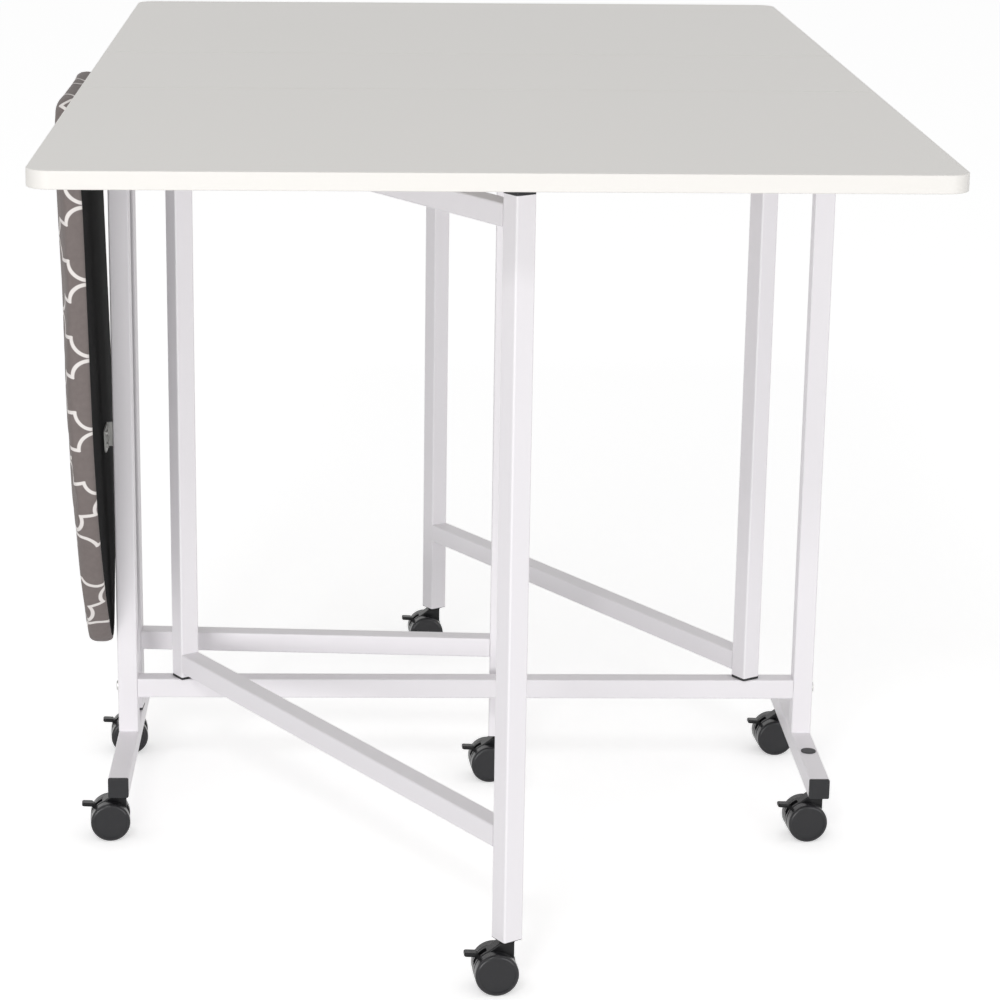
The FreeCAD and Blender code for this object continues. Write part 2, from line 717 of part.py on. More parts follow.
def board_gate():
    """The L-shaped gate that swings out under the raised ironing board."""
    place = board_gate_place()
    pivot_z = foot_top_z + s.run_gap + s.bush_flange
    masters = gate_masters("board_gate_length")
    pivot_length = ("table_height - panel_thick - tube_size * 2 - caster_height - run_gap"
                    " - 2 * run_gap - 2 * bush_flange")
    pivot = square_tube("board_pivot_master", pivot_length, Vector(0, 0, pivot_z), Z)
    rail_at = Vector(half, 0, s.board_gate_rail_z + half)
    rail = square_tube("board_rail_master", "board_gate_length - tube_size", rail_at, X)
    keep_copy("board_gate_pivot_post", pivot, place)
    keep_copy("board_gate_rail", rail, place)
    keep_copy("board_gate_leg", masters.leg, place)
    gate_plugs("board_gate_plugs", masters, s.board_gate_length, pivot_z, place)


def board_gate_place():
    at = Vector(table_mid_x - post_x, s.board_gate_y, 0)
    return Placement(at, Rotation(Z, -s.board_gate_lean))


# Ironing board, drawn from its hinge axis: X towards the nose, Z out of the padded face.
def board_place():
    towards_nose = Vector(math.sin(tilt), 0, -math.cos(tilt))
    outwards = Vector(-math.cos(tilt), 0, -math.sin(tilt))
    return Placement(board_axis, Rotation(towards_nose, -Y, outwards, "ZXY"))


def board_outline(inset, level):
    """Edges of the board's outline, drawn in parallel by the inset: a square end with
    rounded corners, straight sides, then two large arcs that run into the round nose."""
    wide = s.board_width / 2
    end = -s.board_end_over
    nose_at = end + s.board_length - s.board_nose_radius
    run = nose_at - s.board_straight
    flank = (run ** 2 + wide ** 2 - s.board_nose_radius ** 2) / (2 * (wide - s.board_nose_radius))
    meet = math.atan2(flank - wide, run)
    corner = s.board_corner_radius

    def arc(cx, cy, radius, start, stop):
        points = []
        for angle in (start, (start + stop) / 2, stop):
            points.append(Vector(cx + radius * math.cos(angle), cy + radius * math.sin(angle), level))
        return Part.Arc(*points)

    def line(x_start, y_start, x_stop, y_stop):
        return Part.LineSegment(Vector(x_start, y_start, level), Vector(x_stop, y_stop, level))

    quarter = math.pi / 2
    near = end + corner
    straight = s.board_straight
    side = wide - inset
    return [
        arc(near, wide - corner, corner - inset, 2 * quarter, quarter),
        line(near, side, straight, side),
        arc(straight, wide - flank, flank - inset, quarter, meet),
        arc(nose_at, 0, s.board_nose_radius - inset, meet, -meet),
        arc(straight, flank - wide, flank - inset, -meet, -quarter),
        line(straight, -side, near, -side),
        arc(near, corner - wide, corner - inset, -quarter, -2 * quarter),
        line(end + inset, corner - wide, end + inset, wide - corner),
    ]


def ironing_board():
    place = board_place()
    deck = new_body("board_deck")
    outline = sketch_on(deck, "XY_Plane", board_outline(s.cover_wrap, 0))
    pad(deck, outline, "deck_thick")
    for spot in catch_screw_spots():
        hole = "catch_screw_dia + 2 * fit_gap"
        round_bar(deck, "Subtractive", hole, "catch_screw_bite + 2 * overrun", spot - Z * s.overrun)
    deck.Placement = place.multiply(Placement(Z * board_plane_gap, Rotation()))
    keep("board_deck", deck)

    # The pad is crowned: its hem draws in under the deck's edge and its top rolls over.
    insets = (s.pad_hem_inset, 0, s.pad_shoulder_inset, s.pad_roll_inset, s.pad_crown_inset)
    wires = []
    for share, inset in zip(PAD_HEIGHT_SHARES, insets):
        level = board_plane_gap + share * s.board_thick
        wires.append(Part.Wire([edge.toShape() for edge in board_outline(inset, level)]))
    cushion = Part.makeLoft(wires, True, True)
    floor = Part.Wire([edge.toShape() for edge in board_outline(s.cover_wrap, board_plane_gap)])
    deck_room = Part.Face(floor).extrude(Z * s.deck_thick)
    soft = doc.addObject("Part::Feature", "board_pad")
    soft.Shape = cushion.cut(deck_room)
    soft.Placement = place
    keep("board_pad", soft)


def board_hinges():
    """Two hinges: a bracket on the left top bar and a plate under the deck."""
    family = ("board_hinge_length", "board_barrel_dia", "board_pin_dia",
              "board_plate_reach", "board_plate_thick")
    plate = hinge_plate("board_plate_master", family, (1,))
    towards_nose = Placement(Vector(), Rotation(Z, -90))
    bracket = new_body("board_bracket_master")
    arm_reach = "board_hinge_out + post_inset - tube_size / 2"
    knuckle = "board_hinge_length / 3 - run_gap"
    arm_z = -s.board_barrel_dia / 2
    for third in (0, 2):
        start = Vector(0, s.board_hinge_length * (third / 3 - 1 / 2) + s.run_gap / 2, 0)
        block(bracket, "Additive", (arm_reach, knuckle, "bracket_thick"), start + Z * arm_z)
        round_bar(bracket, "Additive", "board_barrel_dia", knuckle, start, Y)
    face = s.board_hinge_out + s.post_inset - half - s.bracket_thick
    tongue = Vector(face, -s.board_hinge_length / 2, arm_z + s.bracket_thick - s.bracket_height)
    block(bracket, "Additive", ("bracket_thick", "board_hinge_length", "bracket_height"), tongue)
    bore_start = Vector(0, -s.board_hinge_length / 2 - s.overrun, 0)
    bore_length = "board_hinge_length + 2 * overrun"
    round_bar(bracket, "Subtractive", "board_pin_dia + 2 * pin_gap", bore_length, bore_start, Y)
    for end in (-1, 1):
        aside = end * (s.board_hinge_length / 2 - s.bracket_screw_inset)
        base = Vector(face - s.overrun, aside, bracket_screw_z - board_axis.z)
        round_bar(bracket, "Subtractive", "screw_dia + 4 * fit_gap", "overrun * 4", base, X)
    doc.recompute()
    plates, brackets = [], []
    for side in (-1, 1):
        along = Y * (side * s.board_hinge_y)
        seat = board_place().multiply(Placement(-along, Rotation()))
        plates.append(placed(plate, seat.multiply(towards_nose)))
        brackets.append(placed(bracket, Placement(board_axis + along, Rotation())))
    keep_group("board_hinge_plates", plates)
    keep_group("board_hinge_brackets", brackets)


def board_catch():
    """Angle under the deck, screwed on: the swung-out leg comes to rest against its flange."""
    reach = catch_reach()
    under = board_plane_gap
    back = -s.catch_stop_y
    body = new_body("catch_angle")
    low = Vector(reach - s.catch_length / 2, back, under - s.catch_sheet)
    foot = block(body, "Additive", ("catch_length", "catch_width", "catch_sheet"), low)

    def outer_corner(edge):
        return runs_along(Z)(edge) and edge.CenterOfMass.y > back + s.catch_width / 2

    fillet(body, foot, "catch_corner", outer_corner)
    flange_low = Vector(reach - s.catch_length / 2, back, under - s.catch_flange)
    flange = block(body, "Additive", ("catch_length", "catch_sheet", "catch_flange"), flange_low)

    def flange_corner(edge):
        return runs_along(Y)(edge) and edge.CenterOfMass.z < under - s.catch_flange / 2

    fillet(body, flange, "catch_corner", flange_corner)
    screw = new_body("catch_screw")
    head_under = Vector(0, 0, -s.catch_sheet - s.catch_screw_head_thick)
    round_bar(screw, "Additive", "catch_screw_head_dia", "catch_screw_head_thick", head_under)
    round_bar(screw, "Additive", "catch_screw_dia", "catch_sheet + catch_screw_bite", -Z * s.catch_sheet)
    round_bar(screw, "Subtractive", "catch_screw_socket_dia", "catch_screw_socket_depth", head_under)
    for spot in catch_screw_spots():
        base = spot + Z * (under - s.catch_sheet - s.overrun)
        round_bar(body, "Subtractive", "catch_screw_dia + 2 * fit_gap", "overrun * 4", base)
    doc.recompute()
    solids = [placed(body, board_place())]
    for spot in catch_screw_spots():
        seat = Placement(spot + Z * under, Rotation())
        solids.append(placed(screw, board_place().multiply(seat)))
    keep_group("board_catch", solids)


def catch_screw_spots():
    """Where the catch is screwed to the deck, on the deck's underside."""
    aside = s.catch_width - s.catch_stop_y - s.catch_screw_inset
    return [Vector(catch_reach() + side * s.catch_length / 4, aside, 0) for side in (-1, 1)]


def catch_reach():
    """Distance from the hinge axis to where the swung-out leg stands under the board."""
    along = s.board_gate_length * math.cos(landing_angle())
    return along - s.post_inset - s.board_hinge_out


def landing_angle():
    """Angle past straight out at which the leg's corner meets the catch's flange."""
    room = s.board_gate_y - s.catch_stop_y - s.catch_stop_gap - half
    return math.asin(room / (s.board_gate_length + half))


# Casters, each drawn with its stem on the Z axis, standing on Z = 0, wheels trailing to -X.
def caster_masters():
    masters = SimpleNamespace()
    hub = Vector(-s.caster_trail, 0, s.wheel_dia / 2)
    top = s.caster_height - s.stem_flange_thick

    def on_hood(angle):
        turn = math.radians(angle)
        return hub + Vector(math.cos(turn), 0, math.sin(turn)) * s.hood_radius

    front, back = on_hood(s.hood_front_angle), on_hood(s.hood_back_angle)
    crest = on_hood((s.hood_front_angle + s.hood_back_angle) / 2)
    base_z = hub.z - s.hood_base_drop
    corners = [
        back,
        Vector(-s.boss_half, 0, top),
        Vector(s.boss_half, 0, top),
        Vector(s.boss_half, 0, top - s.boss_drop),
        Vector(hub.x + s.hood_base_half, 0, base_z),
        Vector(hub.x - s.hood_base_half, 0, base_z),
        front,
    ]

    def flat(point):
        return Vector(point.x, point.z, 0)

    outline = [Part.Arc(flat(front), flat(crest), flat(back))]
    outline += [Part.LineSegment(flat(a), flat(b)) for a, b in zip(corners, corners[1:])]
    hood = new_body("hood_master")
    form = pad(hood, sketch_on(hood, "XZ_Plane", outline), "hood_width", True)

    def hood_rim(edge):
        middle = edge.CenterOfMass
        on_side = abs(abs(middle.y) - s.hood_width / 2) < s.fit_gap and edge.BoundBox.YLength < s.fit_gap
        return on_side and (middle - hub).Length > s.hood_radius * s.hood_rim_share and middle.z > hub.z

    fillet(hood, form, "hood_edge_radius", hood_rim)
    pivot = hub + Vector(-s.lever_pivot_back, 0, s.lever_pivot_up)
    room = s.lever_barrel_dia / 2 + s.notch_clear
    notch_low = Vector(pivot.x - s.hood_radius, -s.lever_width / 2 - s.run_gap, pivot.z - room)
    notch = ("hood_radius + lever_barrel_dia / 2 + notch_clear", "lever_width + 2 * run_gap", "hood_radius")
    block(hood, "Subtractive", notch, notch_low)
    slot_low = Vector(hub.x - s.hood_radius - s.overrun, -s.slot_width / 2, pivot.z - s.slot_drop)
    slot = ("hood_radius + overrun - lever_pivot_back", "slot_width", "slot_drop")
    block(hood, "Subtractive", slot, slot_low)
    round_bar(hood, "Additive", "lever_pin_dia", "hood_width", pivot - Y * (s.hood_width / 2), Y)
    bore_start = hub - Y * (s.hood_width / 2 + s.overrun)
    round_bar(hood, "Subtractive", "axle_dia + 2 * pin_gap", "hood_width + 2 * overrun", bore_start, Y)
    round_bar(hood, "Additive", "stem_flange_dia", "stem_flange_thick", Vector(0, 0, top))
    round_bar(hood, "Additive", "stem_dia", "stem_length", Vector(0, 0, s.caster_height))
    doc.recompute()
    masters.hood = hood

    wheel = new_body("wheel_master")
    inner_y = s.hood_width / 2 + s.run_gap
    disc = round_bar(wheel, "Additive", "wheel_dia", "wheel_width", hub + Y * inner_y, Y)

    def rim_at(y):
        return lambda edge: isinstance(edge.Curve, Part.Circle) and abs(edge.CenterOfMass.y - y) < s.fit_gap

    outer = fillet(wheel, disc, "wheel_edge_radius", rim_at(inner_y + s.wheel_width))

    def inner_rim(edge):
        return rim_at(inner_y)(edge) and edge.Curve.Radius > s.wheel_dia / 4

    fillet(wheel, outer, "wheel_inner_radius", inner_rim)
    face = hub + Y * (inner_y + s.wheel_width - s.wheel_face_depth)
    round_bar(wheel, "Subtractive", "wheel_face_dia", "overrun", face, Y)
    hub_length = "wheel_width - wheel_face_depth * 4"
    round_bar(wheel, "Subtractive", "axle_dia + 2 * pin_gap", f"{hub_length} + overrun",
              hub + Y * (inner_y - s.overrun), Y)
    axle = new_body("axle_master")
    axle_half = inner_y + s.wheel_width - s.wheel_face_depth * 4
    axle_length = "hood_width + 2 * run_gap + 2 * wheel_width - wheel_face_depth * 8"
    round_bar(axle, "Additive", "axle_dia", axle_length, hub - Y * axle_half, Y)
    doc.recompute()
    masters.wheel, masters.axle = wheel, axle

    # A short neck rises out of the notch and carries a level pedal with rounded corners.
    lever = new_body("lever_master")
    barrel_start = pivot - Y * (s.lever_width / 2)
    thick = s.lever_thick / 2

    def outwards(rise):
        """Frame with X out of the caster's back at a rise, and the point at its start."""
        angle = math.radians(rise)
        out = Vector(-math.cos(angle), 0, math.sin(angle))
        return out, Rotation(out, -Y, out.cross(-Y), "ZXY")

    out, turn = outwards(s.lever_pedal_rise)
    neck_out, neck_turn = outwards(s.lever_rise)
    elbow = pivot + neck_out * s.lever_neck
    pedal_low = elbow + turn.multVec(Vector(-s.lever_pedal_lap, -s.lever_pedal_width / 2, -thick))
    pedal_size = ("lever_pedal_length", "lever_pedal_width", "lever_thick")
    pedal = block(lever, "Additive", pedal_size, pedal_low, turn)
    upright = turn.multVec(Z)

    def tip_corner(edge):
        return runs_along(upright)(edge) and (edge.CenterOfMass - elbow).dot(out) > s.lever_pedal_length / 2

    rounded = fillet(lever, pedal, "lever_corner_radius", tip_corner)

    def pedal_rim(edge):
        return not runs_along(upright)(edge) and (edge.CenterOfMass - elbow).dot(out) > s.lever_pedal_lap

    fillet(lever, rounded, "lever_edge_radius", pedal_rim)
    neck_low = pivot + neck_turn.multVec(Vector(0, -s.lever_width / 2, -thick))
    block(lever, "Additive", ("lever_neck", "lever_width", "lever_thick"), neck_low, neck_turn)
    round_bar(lever, "Additive", "lever_thick", "lever_width", elbow - Y * (s.lever_width / 2), Y)
    round_bar(lever, "Additive", "lever_barrel_dia", "lever_width", barrel_start, Y)
    bore_start = pivot - Y * (s.lever_width / 2 + s.overrun)
    bore_length = "lever_width + 2 * overrun"
    round_bar(lever, "Subtractive", "lever_pin_dia + 2 * pin_gap", bore_length, bore_start, Y)
    doc.recompute()
    masters.lever = lever
    return masters


def caster_places():
    """Stem positions: four under the feet, one under each gate's leg."""
    places = {name: Vector(x, y, 0) for name, (x, y) in foot_caster_places().items()}
    for name, gate in leaf_gate_places().items():
        places[f"{name}_gate"] = gate.multVec(Vector(s.gate_length, 0, 0))
    places["board_gate"] = board_gate_place().multVec(Vector(s.board_gate_length, 0, 0))
    return places


def casters():
    masters = caster_masters()
    hub = Vector(-s.caster_trail, 0, 0)
    turned = Placement(hub, Rotation(Z, 180)).multiply(Placement(-hub, Rotation()))
    for name, at in caster_places().items():
        place = Placement(at, Rotation(Z, s.caster_yaw))
        keep_copy(f"{name}_caster_hood", masters.hood, place)
        keep_copy(f"{name}_caster_lever", masters.lever, place)
        solids = [placed(masters.wheel, place), placed(masters.wheel, place.multiply(turned))]
        solids.append(placed(masters.axle, place))
        keep_group(f"{name}_caster_wheels", solids)


centre_panel()
leaf_panel("front_leaf_panel", -1)
leaf_panel("back_leaf_panel", 1)
fixed_frame()
frame_caps()
rail_bolts()
frame_screws()
pivot_pins()
foot_sockets()
leaf_hinges()
hinge_pins()
leaf_gates()
board_gate()
ironing_board()
board_hinges()
board_catch()
casters()
doc.recompute()

for thing in doc.Objects:
    if "Invalid" in thing.State or "Error" in thing.State:
        raise RuntimeError(f"{thing.Label} failed: {thing.State}")
os.makedirs("parts", exist_ok=True)
for label, thing in parts.items():
    if thing.Shape.isNull() or not thing.Shape.isValid():
        raise RuntimeError(f"{label} has no valid shape")
for label, thing in parts.items():
    thing.Shape.exportStep(f"parts/{label}.step")
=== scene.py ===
import bmesh
import bpy
import json
import math
from mathutils import Matrix, Vector, geometry


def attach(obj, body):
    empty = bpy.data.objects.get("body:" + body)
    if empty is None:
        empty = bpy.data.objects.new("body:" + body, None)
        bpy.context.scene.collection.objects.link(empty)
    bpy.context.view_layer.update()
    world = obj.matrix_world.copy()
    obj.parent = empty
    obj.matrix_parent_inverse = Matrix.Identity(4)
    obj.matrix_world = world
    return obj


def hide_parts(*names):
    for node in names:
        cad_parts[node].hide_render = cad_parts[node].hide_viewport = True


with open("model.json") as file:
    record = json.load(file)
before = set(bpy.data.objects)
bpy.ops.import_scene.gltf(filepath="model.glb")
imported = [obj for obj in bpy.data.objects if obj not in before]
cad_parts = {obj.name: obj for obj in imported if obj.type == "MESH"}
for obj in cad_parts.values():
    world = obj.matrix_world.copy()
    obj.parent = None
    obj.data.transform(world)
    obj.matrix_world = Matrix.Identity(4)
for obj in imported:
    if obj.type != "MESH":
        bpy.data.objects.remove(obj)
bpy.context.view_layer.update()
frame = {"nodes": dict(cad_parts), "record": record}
nodes = frame["nodes"]
slot_of = {part["node"]: part["material_slot"] for part in frame["record"]["subparts"]}

# All lengths are in metres. The table top's middle along X lies off the overall box's middle,
# because the hanging board widens the box on one side.
MID_X = 0.017495


# Materials

# Colour, roughness, and the scale, strength and depth of the grain of each plain finish.
FINISHES = {
    "white_laminate": ((0.80, 0.78, 0.748), 0.42, 900.0, 0.05, 0.0003),
    "white_steel": ((0.845, 0.822, 0.85), 0.38, 1500.0, 0.06, 0.0003),
    "black_plastic": ((0.016, 0.016, 0.018), 0.48, 1800.0, 0.15, 0.0003),
    "zinc_steel": ((0.60, 0.60, 0.58), 0.35, 1200.0, 0.08, 0.0002),
    "black_deck": ((0.006, 0.006, 0.006), 0.8, 1400.0, 0.3, 0.0004),
    "caster_plastic": ((0.008, 0.008, 0.009), 0.22, 1600.0, 0.05, 0.0003),
    "wheel_plastic": ((0.014, 0.014, 0.016), 0.25, 1600.0, 0.06, 0.0003),
}
METALLIC = {"zinc_steel": 1.0}
SPECULAR = {
    "black_plastic": 0.35,
    "black_deck": 0.06,
    "printed_cover": 0.2,
    "caster_plastic": 0.26,
    "wheel_plastic": 0.42,
}
PLAIN_SPECULAR = 0.5
SMOOTH_DEGREES = 32

# The cover's cloth: its taupe with the darkest and lightest mottle, the print's white, and the
# weave's thread.
CLOTH = (0.19, 0.16, 0.155)
CLOTH_DARK = (0.165, 0.140, 0.134, 1)
CLOTH_LIGHT = (0.215, 0.185, 0.178, 1)
PRINT_WHITE = (0.80, 0.76, 0.74, 1)
CLOTH_ROUGHNESS = 0.85
SHEEN = 0.15
SHEEN_ROUGHNESS = 0.5
MOTTLE_SCALE = 160.0
MOTTLE_DETAIL = 4.0
GRAIN_DETAIL = 2.0
THREAD = 0.0011
WEAVE_STRENGTH = 0.25
WEAVE_DEPTH = 0.0002

# The print on the flat cover: repeat along a row, distance between rows, the circle of a side
# lobe, the corner where it ends, and half the line's width with its soft edge. The lobe runs a
# little past the corner and the straight run starts a little before it, both cut off steeply.
REPEAT = 0.0915
ROW = 0.060
LOBE_AT = 0.0238
LOBE_RADIUS = 0.0212
CORNER_U = 0.0240
CORNER_V = 0.0212
LINE_HALF = 0.0022
LINE_SOFT = 0.0004
LOBE_OVERRUN = 0.0018
RUN_OVERRUN = 0.0014
CUT_OFF = 10.0


def new_material(name, colour, roughness):
    mat = bpy.data.materials.new(name)
    mat.use_nodes = True
    shader = mat.node_tree.nodes["Principled BSDF"]
    shader.inputs["Base Color"].default_value = (*colour, 1)
    shader.inputs["Roughness"].default_value = roughness
    shader.inputs["Metallic"].default_value = METALLIC.get(name, 0.0)
    shader.inputs["Specular IOR Level"].default_value = SPECULAR.get(name, PLAIN_SPECULAR)
    return mat, mat.node_tree, shader


def add_bump(tree, shader, height, strength, distance):
    bump = tree.nodes.new("ShaderNodeBump")
    bump.inputs["Strength"].default_value = strength
    bump.inputs["Distance"].default_value = distance
    tree.links.new(height, bump.inputs["Height"])
    tree.links.new(bump.outputs["Normal"], shader.inputs["Normal"])


def grain(tree, scale, detail):
    """Fine surface noise over the object's own coordinates."""
    where = tree.nodes.new("ShaderNodeTexCoord")
    tex = tree.nodes.new("ShaderNodeTexNoise")
    tex.inputs["Scale"].default_value = scale
    tex.inputs["Detail"].default_value = detail
    tree.links.new(where.outputs["Object"], tex.inputs["Vector"])
    return tex.outputs["Fac"]


def plain(name, colour, roughness, scale, strength, depth):
    mat, tree, shader = new_material(name, colour, roughness)
    add_bump(tree, shader, grain(tree, scale, GRAIN_DETAIL), strength, depth)
    return mat


def math_node(tree, operation, *values):
    node = tree.nodes.new("ShaderNodeMath")
    node.operation = operation
    for socket, value in zip(node.inputs, values):
        if hasattr(value, "is_linked"):
            tree.links.new(value, socket)
        else:
            socket.default_value = value
    return node.outputs[0]


def trellis_lines(tree, split):
    """One on the lines of a quatrefoil trellis over the flat pattern, zero off them."""
    def calc(operation, *values):
        return math_node(tree, operation, *values)

    def folded(axis, period):
        """Distance along one axis from the nearest whole period."""
        turns = calc("ADD", calc("MULTIPLY", split.outputs[axis], 1 / period), 0.5)
        centred = calc("SUBTRACT", calc("FRACT", turns), 0.5)
        return calc("MULTIPLY", calc("ABSOLUTE", centred), period)

    # Rows are half a repeat apart, so the far half of a row folds onto the near half.
    across, along = folded("X", REPEAT), folded("Y", 2 * ROW)
    far = calc("GREATER_THAN", along, ROW / 2)

    def turned(value, whole):
        other = calc("MULTIPLY_ADD", value, -2.0, whole)
        return calc("MULTIPLY_ADD", far, other, value)

    u, v = turned(across, REPEAT / 2), turned(along, ROW)

    # A line leaves the neck between two quatrefoils, rounds a side lobe to a pointed
    # corner, and runs nearly straight from there to the next row's corner.
    du = calc("SUBTRACT", u, LOBE_AT)
    square = calc("MULTIPLY_ADD", du, du, calc("MULTIPLY", v, v))
    on_lobe = calc("ABSOLUTE", calc("SUBTRACT", calc("SQRT", square), LOBE_RADIUS))
    past = calc("MAXIMUM", calc("SUBTRACT", u, CORNER_U + LOBE_OVERRUN), 0.0)
    on_lobe = calc("MULTIPLY_ADD", past, CUT_OFF, on_lobe)
    slope = (CORNER_U - REPEAT / 4) / (ROW / 2 - CORNER_V)
    lean = calc("MULTIPLY_ADD", v, slope, -CORNER_U - slope * CORNER_V)
    on_run = calc("ABSOLUTE", calc("ADD", u, lean))
    short = calc("MAXIMUM", calc("SUBTRACT", CORNER_V - RUN_OVERRUN, v), 0.0)
    on_run = calc("MULTIPLY_ADD", short, CUT_OFF, on_run)
    edge = tree.nodes.new("ShaderNodeMapRange")
    edge.inputs["From Min"].default_value = LINE_HALF - LINE_SOFT
    edge.inputs["From Max"].default_value = LINE_HALF + LINE_SOFT
    edge.inputs["To Min"].default_value = 1.0
    edge.inputs["To Max"].default_value = 0.0
    tree.links.new(calc("MINIMUM", on_lobe, on_run), edge.inputs["Value"])
    return edge.outputs["Result"]


def trellis_cover():
    """Taupe cotton with a white quatrefoil trellis, laid out on the cover's flat pattern."""
    mat, tree, shader = new_material("printed_cover", CLOTH, CLOTH_ROUGHNESS)
    shader.inputs["Sheen Weight"].default_value = SHEEN
    shader.inputs["Sheen Roughness"].default_value = SHEEN_ROUGHNESS
    uv = tree.nodes.new("ShaderNodeUVMap")
    uv.uv_map = "flat"
    split = tree.nodes.new("ShaderNodeSeparateXYZ")
    tree.links.new(uv.outputs["UV"], split.inputs[0])

    mottle = tree.nodes.new("ShaderNodeValToRGB")
    mottle.color_ramp.elements[0].color = CLOTH_DARK
    mottle.color_ramp.elements[1].color = CLOTH_LIGHT
    tree.links.new(grain(tree, MOTTLE_SCALE, MOTTLE_DETAIL), mottle.inputs["Fac"])
    mix = tree.nodes.new("ShaderNodeMix")
    mix.data_type = "RGBA"
    tree.links.new(trellis_lines(tree, split), mix.inputs["Factor"])
    tree.links.new(mottle.outputs["Color"], mix.inputs["A"])
    mix.inputs["B"].default_value = PRINT_WHITE
    tree.links.new(mix.outputs["Result"], shader.inputs["Base Color"])

    # Plain weave: threads both ways over the flat pattern.
    threads = []
    for axis in ("X", "Y"):
        turns = math_node(tree, "MULTIPLY", split.outputs[axis], 2 * math.pi / THREAD)
        threads.append(math_node(tree, "SINE", turns))
    weave = math_node(tree, "MULTIPLY", *threads)
    add_bump(tree, shader, weave, WEAVE_STRENGTH, WEAVE_DEPTH)
    return mat


def smooth(obj):
    obj.data.polygons.foreach_set("use_smooth", [True] * len(obj.data.polygons))
    obj.data.set_sharp_from_angle(angle=math.radians(SMOOTH_DEGREES))


materials = {name: plain(name, *finish) for name, finish in FINISHES.items()}
materials["printed_cover"] = trellis_cover()
for name, obj in nodes.items():
    obj.data.materials.clear()
    obj.data.materials.append(materials[slot_of[name]])
    smooth(obj)


# Ironing-board cover: a taut printed cloth over foam, in the board's own frame,
# X from the hinge axis towards the nose, Y across, Z out of the padded face.

BOARD_TILT = math.radians(1.4)
BOARD_AXIS = Vector((MID_X - 0.4572 - 0.0037, 0, 0.905))
BOARD_END = -0.0024
BOARD_LENGTH = 0.705
BOARD_HALF = 0.150
BOARD_STRAIGHT = 0.352
BOARD_NOSE = 0.040
BOARD_CORNER = 0.038
DECK_UNDER = 0.0035
BOARD_THICK = 0.0284
DECK_THICK = 0.012
DECK_INSET = 0.008

# Points along each stretch of the outline.
CORNER_POINTS = 12
SIDE_POINTS = 54
FLANK_POINTS = 60
NOSE_POINTS = 22
END_POINTS = 36

# The cover's section as rings. Up to the side: inset from the outline, height over the deck's
# underside, and the share of the hem's bead by which the ring hangs lower.
HEM_RINGS = [
    (DECK_INSET + 0.0002, 0.0040, 0.0),
    (DECK_INSET + 0.0002, 0.0002, 0.3),
    (0.0068, 0.0, 0.85),
    (0.0052, 0.0, 1.0),
    (0.0038, 0.0004, 0.8),
    (0.0026, 0.0022, 0.3),
    (0.0016, 0.0050, 0.0),
    (0.0009, 0.0085, 0.0),
    (0.0008, 0.0120, 0.0),
]
# The hem's bead is drawn in on the near side only, from the hinge end to the flank.
BEAD = 0.0019
BEAD_STARTS = (0.05, 0.14)
BEAD_FADES = (0.12, 0.66)
BEAD_SIDE = (0.0, 0.1)
# The foam is fuller towards the nose, by an amount between two distances along the board.
FULLER = [(0.0021, 0.20, 0.38), (0.0008, 0.55, 0.64)]
# The roll from the side to the top, tighter at the nose, and the rings inside it.
ROLL_STEPS = 9
ROLL_INSET = 0.0010
ROLL_DROP = 0.0010
ROLL_UP = 0.0122
ROLL_IN = 0.0112
NOSE_ROLL_LESS = 0.0040
NOSE_ROLL = (0.50, 0.64)
CROWN_RINGS = [(0.0055, 0.0006), (0.0110, 0.0002)]
CROWN_RISE = 0.0002

# Small gathers where the hem rounds the nose.
GATHER = 0.0005
GATHER_PITCH = 1.9
GATHER_FROM = 0.52
GATHER_SPAN = 0.12

# Triangles of the top.
TOP_STEP = 0.011
TOP_ROWS = range(-14, 15)
TOP_COLUMNS = range(66)
TOP_EDGE_SHARE = 0.7
SAME_SPOT = 1e-6

# How the print lies on the cover: a neck's and a row's place, and how the cloth was pulled.
NECK_X = 0.0287
ROW_Y = 0.175
SKEW = 0.0072
SKEW_SPAN = 0.06
FLANK_DRAWN = 0.005
FLANK_DRAWN_FROM = (0.39, 0.46)
FLANK_DRAWN_TO = (0.48, 0.57)
NOSE_DRAWN = 0.0045
NOSE_DRAWN_FROM = (0.56, 0.62)
HINGE_STRETCH = 0.08
HINGE_STRETCH_TO = (0.28, 0.42)
NOSE_STRETCH = 0.11
NOSE_STRETCH_FROM = (0.42, 0.60)

# The cover starts lower than the foam by its swell, and no point moves further than the cap.
SWELL = 0.0012
SWELL_CAP = 0.005
STILL = 1e-7
SWELL_FRAMES = 20
SWELL_CLOTH = {
    "quality": 6,
    "mass": 0.3,
    "tension_stiffness": 40,
    "compression_stiffness": 40,
    "shear_stiffness": 20,
    "bending_stiffness": 2.0,
    "use_pressure": True,
    "uniform_pressure_force": 0.4,
}


def board_matrix():
    s, c = math.sin(BOARD_TILT), math.cos(BOARD_TILT)
    turn = Matrix(((s, 0, -c), (0, -1, 0), (-c, 0, -s)))
    return Matrix.Translation(BOARD_AXIS) @ turn.to_4x4()


